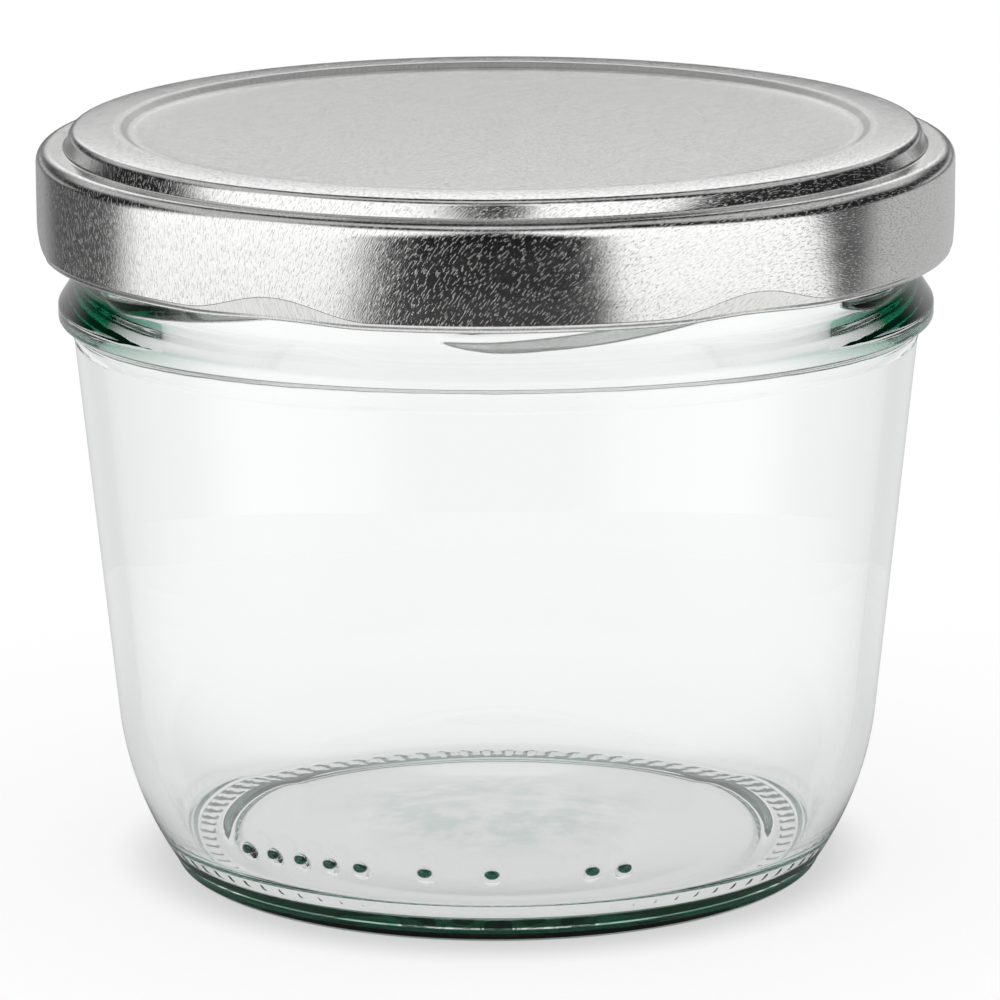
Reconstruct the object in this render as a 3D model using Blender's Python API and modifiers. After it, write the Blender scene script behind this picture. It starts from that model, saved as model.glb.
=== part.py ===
"""Canning jar: a tapered glass jar, its pressed six-lug lid and the sealing ring between them.

Units are metres and +Z is up. The origin is the centre of the surface that the jar stands on.
The lid turns and lifts about Z.
"""
import math

import bmesh
import bpy
from mathutils import Matrix, Vector

# Fits
gap = 0.0003
overrun = 0.0005
merge_distance = 0.00001

# Glass finish: the closure's size follows the neck
neck_radius = 0.0391
finish_thickness = 0.0023
rim_outer_round = 0.0010
rim_inner_round = 0.0007

# Glass heights
jar_height = 0.0684
finish_height = 0.01455
heel_height = 0.0149

# Transfer bead, with the shares of its two rounds at which its outline has points
bead_proud = 0.0018
bead_upper_reach = 0.0021
bead_face = 0.00075
bead_lower_round = 0.00105
bead_upper_shares = (1.0, 0.82, 0.6, 0.3, 0.0)
bead_lower_shares = (0.0, 0.5, 1.0)

# Tapered body and heel
body_step = 0.0005
body_taper_share = 0.1
heel_radius = 0.0305
foot_round = 0.0006
wall_thickness = 0.0026
heel_thickness = 0.0021
neck_blend = 0.012

# Base: a ring to stand on, a gentle push-up inside it and the floor above
land_width = 0.0028
push_up = 0.0006
push_up_run = 0.003
push_up_crown = 0.0014
floor_level = 0.0028
floor_crown = 0.0018
inner_heel_round = 0.004

# Knurled bearing ring
knurl_count = 80
knurl_height = 0.00045
knurl_length = 0.0021
knurl_width = 0.0014
knurl_crest_share = 0.4

# Raised bumps on the heel, in evenly spaced places of which some are left out
bump_places = (0, 1, 2, 3, 4, 6, 8, 11, 12)
bump_pitch_deg = 5.07
bump_first_deg = -131.5
bump_level = 0.0074
bump_radius = 0.0009
bump_proud = 0.0005

# Thread ramps: angles are counted from the middle of the lug that each one holds
ramp_low_deg = -40.0
ramp_high_deg = 4.0
ramp_proud = 0.0016
ramp_band = 0.0005
ramp_top_share = 0.8
ramp_rise = 0.0036
ramp_start_share = 0.35
ramp_low_fade_deg = 10.0
ramp_high_fade_deg = 4.0
ramp_clearance = 0.0009

# Lid
lug_count = 6
lug_first_deg = 2.6
sheet = 0.00022
lid_height = 0.01142
skirt_clearance = 0.00183
skirt_draft = 0.0001
shoulder_round = 0.00125
shoulder_rise = 0.0001
ridge_clearance = 0.0004
ridge_round = 0.0008
ridge_fall = 0.00012
channel_width = 0.0046
wall_height = 0.0018
wall_draft = 0.0006
groove_round = 0.0003
panel_drop = 0.0005
panel_slope = 0.0007
panel_round = 0.0004
curl_radius = 0.00055
curl_sweep_deg = 270.0

# Lugs pressed in from the curl
lug_half_deg = 10.5
lug_rise = 0.0024
lug_depth = 0.0010
lug_clearance = 0.0008
lug_flat_share = 0.25

# Sealing ring
seal_thickness = 0.0011
seal_round = 0.0003

# Smoothness: lid_steps is a multiple of the number of lugs, so that they are all alike
glass_steps = 60
lid_steps = 84
seal_steps = 48
curl_steps = 5
lug_rows = 4
heel_steps = 5
inner_heel_steps = 3
dome_steps = 2
ramp_fade_steps = 2
ramp_run_steps = 5
bump_sides = 10
bump_rings = 4
sharp_angle_deg = 50.0

# Places worked out from the sizes
bead_crest = jar_height - finish_height
bead_radius = neck_radius + bead_proud
below_bead = bead_crest - bead_face - bead_lower_round
body_radius = neck_radius + body_step
mouth_radius = neck_radius - finish_thickness
ramp_radius = neck_radius + ramp_proud
seal_bottom = jar_height + gap
lid_crown = seal_bottom + seal_thickness + gap + sheet
lid_base = lid_crown - lid_height
lid_radius = ramp_radius + skirt_clearance + sheet
ridge_radius = neck_radius + ridge_clearance
channel_radius = ridge_radius - channel_width
panel_radius = channel_radius - panel_slope
curl_outer = lid_radius - skirt_draft
curl_width = curl_radius + curl_radius
lug_tip = neck_radius + lug_clearance
lug_top = lid_base + curl_width * (1 - lug_flat_share)
lug_pitch_deg = 360 / lug_count


def clear_scene():
    for obj in list(bpy.data.objects):
        bpy.data.objects.remove(obj)
    for collection in list(bpy.data.collections):
        bpy.data.collections.remove(collection)


def new_collection(name):
    collection = bpy.data.collections.new(name)
    bpy.context.scene.collection.children.link(collection)
    return collection


def new_material(name, colour, roughness, metallic=0.0, transmission=0.0):
    material = bpy.data.materials.new(name)
    material.use_nodes = True
    shader = material.node_tree.nodes["Principled BSDF"]
    shader.inputs["Base Color"].default_value = (*colour, 1.0)
    shader.inputs["Roughness"].default_value = roughness
    shader.inputs["Metallic"].default_value = metallic
    shader.inputs["Transmission Weight"].default_value = transmission
    shader.inputs["IOR"].default_value = 1.52
    return material


def rounded(corners):
    """The outline through corners of (r, z, round, steps), each corner cut by its arc."""
    points = []
    last = len(corners) - 1
    for i, (r, z, radius, steps) in enumerate(corners):
        corner = Vector((r, z))
        if i in (0, last) or radius == 0:
            points.append(corner)
            continue
        back = Vector(corners[i - 1][:2]) - corner
        ahead = Vector(corners[i + 1][:2]) - corner
        half = back.angle(ahead) / 2
        reach = min(radius / math.tan(half), back.length / 2, ahead.length / 2)
        start = corner + back.normalized() * reach
        centre = corner + (back.normalized() + ahead.normalized()).normalized() * (reach / math.cos(half))
        spoke = start - centre
        sweep = math.copysign(math.pi - 2 * half, ahead.cross(back))
        for step in range(steps + 1):
            points.append(centre + Matrix.Rotation(sweep * step / steps, 2) @ spoke)
    return [(p.x, p.y) for p in points]


def closed(corners):
    """A closed outline, started in the middle of its last side."""
    first = Vector(corners[0][:2])
    last = Vector(corners[-1][:2])
    middle = (*((first + last) / 2), 0, 0)
    return rounded([middle, *corners, middle])[:-1]


def turned(name, outline, steps, collection, loop=False):
    """An object whose outline, at +X, is turned about Z by a Screw modifier."""
    mesh = bpy.data.meshes.new(name)
    edges = [(i, i + 1) for i in range(len(outline) - 1)]
    if loop:
        edges.append((len(outline) - 1, 0))
    mesh.from_pydata([(r, 0, z) for r, z in outline], edges, [])
    obj = bpy.data.objects.new(name, mesh)
    collection.objects.link(obj)
    screw = obj.modifiers.new("turn", "SCREW")
    screw.steps = steps
    screw.render_steps = steps
    screw.use_merge_vertices = True
    screw.merge_threshold = merge_distance
    return obj


def bake(obj):
    """Replace an object's mesh by the one that its modifiers make."""
    bpy.context.view_layer.update()
    evaluated = obj.evaluated_get(bpy.context.evaluated_depsgraph_get())
    mesh = bpy.data.meshes.new_from_object(evaluated)
    obj.modifiers.clear()
    obj.data = mesh
    mesh.name = obj.name
    mesh.shade_smooth()
    return mesh


def join(target, tool):
    """Fuse a tool's shapes to a target with a Boolean modifier."""
    tool.hide_render = True
    tool.display_type = "WIRE"
    union = target.modifiers.new(tool.name, "BOOLEAN")
    union.operation = "UNION"
    union.solver = "EXACT"
    union.object = tool


def tool_object(name, bm, collection):
    bmesh.ops.recalc_face_normals(bm, faces=bm.faces)
    mesh = bpy.data.meshes.new(name)
    bm.to_mesh(mesh)
    bm.free()
    obj = bpy.data.objects.new(name, mesh)
    collection.objects.link(obj)
    return obj


def body_side(z):
    """Radius of the straight tapered side at a height."""
    return body_radius - body_taper_share * (below_bead - z)


def heel_centre():
    """Centre of the heel's big arc, which leaves the tapered side without a corner."""
    start_angle = math.atan(body_taper_share)
    r = body_side(heel_height) - heel_radius * math.cos(start_angle)
    return r, heel_height + heel_radius * math.sin(start_angle)


def heel_arc(level):
    """Point and outward angle below the horizontal on the heel's big arc at a height."""
    start_angle = math.atan(body_taper_share)
    sine = math.sin(start_angle) + (heel_height - level) / heel_radius
    angle = math.asin(min(sine, 1.0))
    r = body_side(heel_height) - heel_radius * (math.cos(start_angle) - math.cos(angle))
    return r, angle


def bead_outline():
    """The transfer bead: a cosine swell above its crest, a straight face and a short round below."""
    points = []
    for share in bead_upper_shares:
        swell = math.cos(share * math.pi / 2)
        points.append((neck_radius + bead_proud * swell, bead_crest + bead_upper_reach * share))
    for share in bead_lower_shares:
        turn = share * math.pi / 2
        r = body_radius + (bead_radius - body_radius) * math.cos(turn)
        points.append((r, bead_crest - bead_face - bead_lower_round * math.sin(turn)))
    return points


def heel_outline():
    """The heel's arc from the straight side down to the foot."""
    foot_level = knurl_height + foot_round
    points = []
    for step in range(heel_steps + 1):
        level = heel_height + (foot_level - heel_height) * step / heel_steps
        points.append((heel_arc(level)[0], level))
    return points


def inner_heel():
    """The inside from the floor's edge to the wall: a fillet, then an arc along the heel."""
    centre_r, centre_z = heel_centre()
    reach = heel_radius - heel_thickness
    spoke = reach - inner_heel_round
    fillet_z = floor_level + inner_heel_round
    meet = math.asin((centre_z - fillet_z) / spoke)
    fillet_r = centre_r + spoke * math.cos(meet)
    points = []
    for step in range(inner_heel_steps + 1):
        angle = math.pi / 2 + (meet - math.pi / 2) * step / inner_heel_steps
        points.append((fillet_r + inner_heel_round * math.cos(angle), fillet_z - inner_heel_round * math.sin(angle)))
    top = math.atan(body_taper_share)
    for step in range(1, inner_heel_steps + 1):
        angle = meet + (top - meet) * step / inner_heel_steps
        points.append((centre_r + reach * math.cos(angle), centre_z - reach * math.sin(angle)))
    return points


def dome(edge, level, crown):
    """A gentle dome from the axis outwards, without the point on its edge."""
    points = []
    for step in range(dome_steps):
        share = step / dome_steps
        points.append((edge * share, level + crown * (1 + math.cos(math.pi * share)) / 2))
    return points


def land_outer():
    """Outer radius of the flat land that carries the knurls."""
    return heel_arc(knurl_height + foot_round)[0] - foot_round


def glass_outline():
    land = land_outer()
    land_inner = land - land_width
    dome_edge = land_inner - push_up_run
    dome_level = knurl_height + push_up
    heel = inner_heel()
    floor = dome(heel[0][0], floor_level, floor_crown)
    inner_high = body_side(below_bead) - wall_thickness
    inside = rounded([
        (*heel[-1], 0, 0),
        (inner_high, below_bead, neck_blend, 1),
        (mouth_radius, bead_crest + bead_upper_reach, neck_blend, 1),
        (mouth_radius, jar_height, rim_inner_round, 3),
        (neck_radius, jar_height, rim_outer_round, 3),
        (neck_radius, bead_crest, 0, 0),
    ])[:-1]
    underside = [(land, knurl_height), (land_inner, knurl_height), (dome_edge, dome_level)]
    underside += reversed(dome(dome_edge, dome_level, push_up_crown))
    return floor + heel[:-1] + inside + bead_outline() + heel_outline() + underside


def ramp_section(share):
    """Reach beyond the neck and height of a ramp's lower crest, at a share of its length."""
    length = ramp_high_deg - ramp_low_deg
    held_share = -ramp_low_deg / length
    start = lug_top + ramp_clearance - ramp_rise * climb(held_share)
    from_low = share * length / ramp_low_fade_deg
    from_high = (1 - share) * length / ramp_high_fade_deg
    fade = math.sin(min(from_low, from_high, 1) * math.pi / 2)
    reach = fade * (ramp_proud + overrun / 2) - overrun / 2
    return reach, start + ramp_rise * climb(share)


def climb(share):
    """Share of the rise at a share of the ramp's length: it starts flat and grows steeper."""
    return ramp_start_share * share + (1 - ramp_start_share) * share * share


def ramp_shares():
    """Stations along a ramp, closer together where its ends fade into the neck."""
    length = ramp_high_deg - ramp_low_deg
    low_fade = ramp_low_fade_deg / length
    high_fade = ramp_high_fade_deg / length
    run = 1 - low_fade - high_fade
    shares = [low_fade * step / ramp_fade_steps for step in range(ramp_fade_steps)]
    shares += [low_fade + run * step / ramp_run_steps for step in range(ramp_run_steps)]
    shares += [1 - high_fade + high_fade * step / ramp_fade_steps for step in range(ramp_fade_steps + 1)]
    return shares


def loft(bm, rings):
    """A closed skin over rings that have the same number of points."""
    rows = [[bm.verts.new(point) for point in ring] for ring in rings]
    count = len(rows[0])
    for low, high in zip(rows, rows[1:]):
        for i in range(count):
            after = (i + 1) % count
            bm.faces.new((low[i], low[after], high[after], high[i]))
    bm.faces.new(rows[0])
    bm.faces.new(rows[-1])


def thread_ramps(collection):
    """One sloped ramp for each lug: 45 degrees below, a flat band, and a sloped top."""
    bm = bmesh.new()
    root = neck_radius - overrun
    for lug in range(lug_count):
        rings = []
        for share in ramp_shares():
            reach, level = ramp_section(share)
            angle = ramp_low_deg + (ramp_high_deg - ramp_low_deg) * share
            turn = Matrix.Rotation(math.radians(lug_first_deg + lug * lug_pitch_deg + angle), 3, "Z")
            crest = neck_radius + reach
            depth = crest - root
            band_top = level + ramp_band
            section = [
                (root, 0, level - depth),
                (crest, 0, level),
                (crest, 0, band_top),
                (root, 0, band_top + depth * ramp_top_share),
            ]
            rings.append([turn @ Vector(point) for point in section])
        loft(bm, rings)
    return tool_object("thread_ramps", bm, collection)


def knurls(collection):
    """Radial bars under the land, with sloped sides and a flat crest that meets the table."""
    bm = bmesh.new()
    height = knurl_height + overrun
    middle = land_outer() - land_width / 2
    for i in range(knurl_count):
        bar = bmesh.ops.create_cube(bm, size=1.0)["verts"]
        for vert in bar:
            crest = vert.co.z < 0
            vert.co.x *= knurl_length
            vert.co.y *= knurl_width * (knurl_crest_share if crest else 1)
            vert.co.z = 0 if crest else height
        bmesh.ops.translate(bm, verts=bar, vec=(middle, 0, 0))
        turn = Matrix.Rotation(math.tau * i / knurl_count, 3, "Z")
        bmesh.ops.rotate(bm, verts=bar, cent=(0, 0, 0), matrix=turn)
    return tool_object("bearing_knurls", bm, collection)


def heel_bumps(collection):
    """Low domes on the heel, each one square to the glass under it."""
    bm = bmesh.new()
    r, fall = heel_arc(bump_level)
    for place in bump_places:
        around = math.radians(bump_first_deg + bump_pitch_deg * place)
        turn = Matrix.Rotation(around, 4, "Z")
        tilt = Matrix.Rotation(fall, 4, "Y")
        seat = turn @ Matrix.Translation((r, 0, bump_level)) @ tilt
        flat = Matrix.Diagonal((bump_proud / bump_radius, 1, 1, 1))
        upright = Matrix.Rotation(math.pi / 2, 4, "Y")
        shape = seat @ flat @ upright
        bmesh.ops.create_uvsphere(
            bm, u_segments=bump_sides, v_segments=bump_rings, radius=bump_radius, matrix=shape)
    return tool_object("heel_bumps", bm, collection)


def make_glass(parts, tools):
    glass = turned("glass_jar", glass_outline(), glass_steps, parts)
    join(glass, thread_ramps(tools))
    join(glass, knurls(tools))
    join(glass, heel_bumps(tools))
    glass.data.materials.append(new_material("green_tinted_glass", (0.9, 0.97, 0.94), 0.02, transmission=1.0))
    return glass


def lid_outline():
    """The lid's outer skin, from the middle of the panel to the end of the curl."""
    crown = lid_height
    panel = crown - panel_drop
    shoulder = crown - wall_height
    skin = rounded([
        (0, panel, 0, 0),
        (panel_radius, panel, panel_round, 1),
        (channel_radius, crown, panel_round, 1),
        (ridge_radius, crown - ridge_fall, ridge_round, 2),
        (ridge_radius + wall_draft, shoulder, groove_round, 1),
        (lid_radius, shoulder + shoulder_rise, shoulder_round, 3),
        (lid_radius, lug_rise, 0, 0),
    ])[:-1]
    top = lug_rise + curl_radius
    for row in range(lug_rows):
        share = row / lug_rows
        skin.append((lid_radius - skirt_draft * share, top + (curl_radius - top) * share))
    for step in range(curl_steps + 1):
        angle = math.radians(curl_sweep_deg) * step / curl_steps
        r = curl_outer - curl_radius + curl_radius * math.cos(angle)
        skin.append((r, curl_radius - curl_radius * math.sin(angle)))
    return skin


def press_lugs(mesh):
    """Push the curl in at each lug: a leaning facet outside, a flattened tip inside."""
    curl_inner = curl_outer - curl_width
    tip_push = curl_inner - lug_tip - lug_depth
    for vert in mesh.vertices:
        r = math.hypot(vert.co.x, vert.co.y)
        if r < curl_inner - gap or vert.co.z > lug_rise:
            continue
        around = math.degrees(math.atan2(vert.co.y, vert.co.x)) - lug_first_deg
        off = (around + lug_pitch_deg / 2) % lug_pitch_deg - lug_pitch_deg / 2
        if abs(off) >= lug_half_deg:
            continue
        window = math.cos(off / lug_half_deg * math.pi / 2) ** 2
        facet = curl_radius + (lug_rise - curl_radius) * window
        lean = max(0, min(1, (facet - vert.co.z) / facet))
        inward = max(0, min(1, (curl_outer - r) / curl_width))
        moved = r - window * (lug_depth * max(lean, inward) + tip_push * inward)
        vert.co.x *= moved / r
        vert.co.y *= moved / r
        vert.co.z *= 1 - lug_flat_share * window * inward


def make_lid(parts):
    lid = turned("lid_shell", lid_outline(), lid_steps, parts)
    mesh = bake(lid)
    mesh.transform(Matrix.Rotation(math.radians(lug_first_deg), 4, "Z"))
    press_lugs(mesh)
    wall = lid.modifiers.new("sheet", "SOLIDIFY")
    wall.thickness = sheet
    wall.offset = -1
    wall.use_even_offset = True
    wall.use_quality_normals = True
    mesh.set_sharp_from_angle(angle=math.radians(sharp_angle_deg))
    mesh.materials.append(new_material("tinplate", (0.76, 0.76, 0.75), 0.28, metallic=1.0))
    return lid


def make_seal(parts):
    """The ring of compound fills the channel between the panel's step and the ridge wall."""
    inner = channel_radius + sheet + gap
    outer = ridge_radius - sheet - gap
    outline = closed([
        (inner, seal_thickness, seal_round, 1),
        (outer, seal_thickness - ridge_fall, seal_round, 1),
        (outer, 0, seal_round, 1),
        (inner, 0, seal_round, 1),
    ])
    ring = turned("sealing_ring", outline, seal_steps, parts, loop=True)
    bake(ring)
    ring.data.materials.append(new_material("sealing_compound", (0.82, 0.80, 0.74), 0.55))
    return ring


def axis_empty(name, height, collection, parent=None):
    empty = bpy.data.objects.new(name, None)
    empty.location = (0, 0, height)
    empty.parent = parent
    collection.objects.link(empty)
    return empty


def build():
    clear_scene()
    parts = new_collection("canning_jar")
    tools = new_collection("shaping_tools")
    make_glass(parts, tools)
    lift = axis_empty("lid_lift_axis", lid_base, parts)
    turn = axis_empty("lid_turn_axis", 0, parts, parent=lift)
    make_lid(parts).parent = turn
    seal = make_seal(parts)
    seal.parent = lift
    seal.location = (0, 0, seal_bottom - lid_base)


build()
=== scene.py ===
"""Looks of the canning jar: moulded glass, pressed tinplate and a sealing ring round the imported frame.

Units are metres, +Z is up and the front of the jar faces -Y. Angles round the jar are counted from +X,
as in the part's own drawing, and those round the studio from the camera's side. Most sizes below are
that drawing's sizes. Some, such as the bead's flanks, the knurls and the push-up, depart from it by a
few tenths of a millimetre.
"""
import math

import bpy
import numpy as np
from mathutils import Matrix, Vector


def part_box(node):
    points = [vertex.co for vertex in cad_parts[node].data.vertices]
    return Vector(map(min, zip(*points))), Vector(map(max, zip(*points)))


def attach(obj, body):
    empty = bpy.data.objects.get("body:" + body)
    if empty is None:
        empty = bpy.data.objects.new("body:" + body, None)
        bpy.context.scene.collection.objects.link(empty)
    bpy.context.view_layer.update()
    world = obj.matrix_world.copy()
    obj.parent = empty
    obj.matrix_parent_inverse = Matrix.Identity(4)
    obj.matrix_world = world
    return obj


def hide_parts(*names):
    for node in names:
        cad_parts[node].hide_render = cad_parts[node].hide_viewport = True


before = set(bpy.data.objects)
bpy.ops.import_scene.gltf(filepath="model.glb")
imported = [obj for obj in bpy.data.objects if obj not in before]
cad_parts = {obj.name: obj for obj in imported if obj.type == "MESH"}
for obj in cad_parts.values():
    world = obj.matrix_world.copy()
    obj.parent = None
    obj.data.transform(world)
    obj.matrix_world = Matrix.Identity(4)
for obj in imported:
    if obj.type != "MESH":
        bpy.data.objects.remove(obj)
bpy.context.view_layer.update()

MM = 0.001

# Places read from the frame
jar_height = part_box("glass_jar")[1].z
lid_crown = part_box("lid_shell")[1].z
seal_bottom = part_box("sealing_ring")[0].z
seal_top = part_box("sealing_ring")[1].z

# How finely the meshes are divided
plain_columns = 240
threaded_columns = 480
lid_columns = 360
columns_per_knurl = 12
neck_row_step = 0.14 * MM
bead_rows_each = 16
longest_glass_step = 3 * MM
longest_lid_step = 2 * MM
bump_rows = 22
bump_columns = 240
knurl_rows = 13

# Glass
neck_radius = 39.1 * MM
mouth_radius = 36.8 * MM
bead_crest = jar_height - 14.55 * MM
bead_proud = 1.8 * MM
bead_upper_reach = 3.0 * MM
bead_top = bead_crest + bead_upper_reach
bead_corner_share = 0.08
bead_face = 1.05 * MM
bead_lower_round = 1.2 * MM
bead_foot_share = 0.45
bead_wobble = 0.08 * MM
bead_waves = (3, 5, 11, 23, 41, 67)
bead_wave_seed = 1
# The bead sagged a little towards the sides: its crest, face and lower side differ by these in front
bead_crest_rise = 0.35 * MM
bead_face_less = 0.55 * MM
bead_lower_less = 0.5 * MM
# The line where the finish mould met the body mould: its profile gives drops below it, and at each the
# share of its step
parting_drop = 3.1 * MM
parting_rise = 0.7 * MM
parting_step = 0.028 * MM
parting_unevenness = 0.9
parting_waves = (7, 13, 29, 53, 97)
parting_wave_seed = 2
parting_profile = ((0, 0), (0.05 * MM, 1), (0.14 * MM, 1), (0.2 * MM, 0), (0.34 * MM, 0))
body_radius = 39.56 * MM
body_taper_share = 0.1
body_top = bead_crest - bead_face - bead_lower_round
side_start = 1.6 * MM
heel_height = 14.9 * MM
heel_radius = 30.5 * MM
foot_round = 0.6 * MM
wall_thickness = 2.6 * MM
heel_thickness = 2.1 * MM
neck_blend = 12 * MM
rim_outer_round = 1.0 * MM
rim_inner_round = 0.7 * MM
land_width = 2.8 * MM
push_up = 0.9 * MM
push_up_run = 3 * MM
push_up_crown = 1.4 * MM
floor_level = 2.8 * MM
floor_crown = 1.8 * MM
inner_heel_round = 4 * MM

# Knurls under the foot
knurl_count = 80
knurl_height = 0.15 * MM
knurl_length = 2.1 * MM
knurl_width = 1.4 * MM
knurl_crown = 1.25
knurl_roundness = 0.8
knurl_end = 1.12
knurl_end_run = 0.24
foot_level = knurl_height + foot_round

# Bumps on the heel
bump_places = (0, 1, 2, 3, 4, 6, 8, 11, 12)
bump_pitch_deg = 5.07
bump_first_deg = -131.5
bump_level = 7.4 * MM
bump_radius = 0.9 * MM
bump_proud = 0.5 * MM
bump_roundness = 0.75
bump_band = 1.3 * MM
bump_margin = 0.005

# Thread ramps, with angles counted from the middle of each lug
lug_count = 6
lug_first_deg = 2.6
lug_pitch_deg = 360 / lug_count
ramp_low_deg = -40
ramp_high_deg = 4
ramp_proud = 1.6 * MM
ramp_band = 0.5 * MM
ramp_top_share = 0.8
ramp_rise = 3.6 * MM
ramp_start_share = 0.35
ramp_over_share = 0.35
ramp_low_fade_deg = 10
ramp_high_fade_deg = 4
ramp_hold_level = 60.61 * MM
ramp_soft = 0.06 * MM
ramp_end_on_bead = 0.3

# Lid
sheet = 0.22 * MM
lid_base = lid_crown - 11.42 * MM
lid_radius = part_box("lid_shell")[1].x
ridge_radius = 39.5 * MM
channel_radius = 34.9 * MM
panel_radius = 34.1 * MM
panel_drop = 0.5 * MM
panel_round = 0.7 * MM
ridge_fall = 0.12 * MM
ridge_round = 0.8 * MM
wall_height = 1.8 * MM
wall_draft = 0.6 * MM
groove_round = 0.3 * MM
shoulder_round = 1.25 * MM
shoulder_rise = 0.1 * MM
skirt_draft = 0.1 * MM
curl_radius = 0.55 * MM
curl_band = 0.75 * MM
curl_step = 0.05 * MM
curl_sweep_deg = 270
curl_steps = 16
band_lean = 0.1 * MM
crease_width = 0.09 * MM
crease_shares = (0.07, 0.14, 0.24, 0.36, 0.48, 0.6, 0.72, 0.84, 0.93, 1)
crease_sharpness = 25
lug_half_deg = 10.5
lug_facet_deg = 12.5
lug_rise = 2.4 * MM
lug_depth = 1.0 * MM
lug_tip = neck_radius + 0.8 * MM
lug_flat_share = 0.25

# Sealing ring
seal_round = 0.3 * MM
seal_inner = channel_radius + 0.52 * MM
seal_outer = ridge_radius - 0.52 * MM

# Colours of the glass. Light turns green as its way through the glass grows from one thick_glass length
# to the other, and deep green as it grows between the deep_glass lengths
white = (1, 1, 1, 1)
glass_ior = 1.52
body_tint = (0.2, 0.8, 0.6, 1)
body_tint_density = 3
thick_glass = (4.3 * MM, 5.3 * MM)
bead_green = (0.06, 0.30, 0.19, 1)
deep_glass = (6 * MM, 15 * MM)
base_green = (0.25, 0.24, 0.24, 1)

# Greens where light that ran inside the glass leaves it, most of them deepened by painted shade, and the
# stretches over which each comes or goes.
# A noise is given as scale, detail and roughness
# The foot's band: the glass's own green with painted shade for the dark surround it shows
foot_green_and_painted_shade = (0.035, 0.13, 0.09)
foot_green_top = 2.7 * MM
foot_green_soft = 0.15 * MM
foot_green_bottom = (0.2 * MM, 0.4 * MM)
foot_line = 1.6 * MM
foot_line_edge = (0.06 * MM, 0.12 * MM)
# Above the foot's clear line: more green with painted shade
brow_green_and_painted_shade = (0.35, 0.60, 0.50)
brow_run = 0.3 * MM
# Painted shade with green on the heel's bumps
bump_green_and_painted_shade = (0.02, 0.10, 0.065)
bump_green_rise = 0.28 * MM
bump_green_edge = (0.7 * MM, 0.8 * MM)
bump_squash = 1.4
# Painted deep shade with green where the finish is seen edge-on
finish_green_and_painted_shade = (0.01, 0.13, 0.065)
finish_run = 0.6 * MM
finish_edge_on = (0.5, 0.68)
flank_run = 0.4 * MM
flank_edge_on = (0.32, 0.55)
floor_green = (0.78, 0.86, 0.83)
floor_green_edge = (9 * MM, 17 * MM)
floor_green_top = (6 * MM, 8 * MM)
floor_noise = (260, 4, 0.6)
floor_cloud = (0.35, 0.65)

# A painted highlight: the rounded edge of the foot made matt and pale
rim_highlight_glass = (0.86, 0.92, 0.90, 1)
rim_highlight_share = 0.7
rim_highlight_run = 0.1 * MM
rim_highlight_top = (0.35 * MM, 0.5 * MM)

# Grain of the sheet, along one direction of the flat blank, and how bright and how dull it makes the metal
grain_deg = 46
grain_stretch = 0.24
grain_height = 0.010 * MM
fleck_noise = (8000, 2, 0.6)
mottle_noise = (900, 2, 0.5)
mottle_share = 0.6
ridge_noise = (6500, 2, 0.5)
ridge_spots = (0.58, 0.66)
metal_shade = (0.35, 0.65, 0.7, 0.8)
metal_hue = (1.0, 1.0, 0.99)
metal_roughness = (0.3, 0.7, 0.12, 0.17)
drawn_dull = 0.25
drawn_run = 1 * MM
drawn_depth = (0.6 * MM, 0.9 * MM)

# Sealing compound
compound_dark = (0.80, 0.78, 0.72, 1)
compound_pale = (0.85, 0.83, 0.77, 1)
compound_noise = (700, 3, 0.5)
compound_roughness = (0.3, 0.7, 0.45, 0.6)
pore_noise = (5000, 2, 0.5)
pore_strength = 0.5
pore_depth = 0.02 * MM

# Brightness of the white surround as the glass shows it: in front, at the sides and behind
around_front = 0.62
around_sides = 0.80
through_glass = 1.0
front_turn = (35, 80)

# Softboxes: inner edge, its lean with the elevation, outer edge and its lean, in degrees. The ramps
# here and below say between which angles or lengths a level changes, and the levels at both ends
left_box = (33, -0.44, 106, -0.48)
right_box = (28, -0.39, 91, -0.84)
box_soft_deg = 4
box_lean_base_deg = 13.0
box_top = (45, 62, 1, 0)
box_bottom = (-24, -21, 0.25, 1)
box_power = (-12, -8, 1.2, 1.35)
box_gap = (-15, -9, 0.06, 0.008)
gap_end = (70, 85)
fill_right = (100, 112, 0.1, 0.56)
fill_left = (-156, -143, 0.42, 0.1)
fill_low_end = (-6, 0)
fill_low_level = 0.02
fill_high_start = (28, 40)
fill_high_level = 0.6
overhead = (70, 80, 0, 0.8)

# The pale wall behind, brightest in the middle, over a dark strip
wall_start = (122, 138)
wall_bottom = (-2, 4)
wall_middle = (158, 172)
strip_bottom = (5, 8, 0.7, 0.04)
strip_top = (20, 26, 0.04, 0.65)
middle_bottom = (8, 12, 0.2, 1.18)
middle_extra = (13, 20, 0.0, 0.12)
wall_top = (31, 38)
wall_above = (140, 155, 0.6, 0.03)
table_edge = (-4, 2, 1, 0)

# What the glass shows of the surround, and what it mirrors
glass_behind = (148, 176)
glass_horizon = (0, 4)
glass_above = 0.8
mirror_start = (15, 45)
mirror_end = (70, 100, 1, 0)
mirror_power = 1.2
mirror_back = (90, 130, 0.1, 0.55)
mirrored_green = (0.01, 0.20, 0.11, 1)
mirrored_green_start = (2, 14)

# Floor, with the share of its white that the jar can shade
floor_radius = 130 * MM
floor_drop = 0.03 * MM
floor_sides = 128
floor_matt = 0.26
floor_white = 1.01
# A painted contact shadow: the floor glows less near the foot
floor_near_white = 0.80
floor_near = (30 * MM, 38 * MM)
floor_behind = (120, 155)
# A painted pool of light: the floor glows brighter under the jar
floor_under = (29 * MM, 36 * MM)
floor_under_level = 0.66
metal_table_end = (85 * MM, 100 * MM)
glass_table_level = 0.55
glass_table_line = (36 * MM, 46 * MM)
glass_table_dark = 0.03

# Camera
film_width = 36
view_length = 6.092
view_shift = 0.00323
view_near = 0.05
camera_place = (0, -0.5596, 0.16635)
camera_down_deg = 13.29
camera_roll = -0.0038

# How often light may bend in the glass and bounce between metal and glass
glass_bounces = 32
metal_bounces = 16


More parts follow.
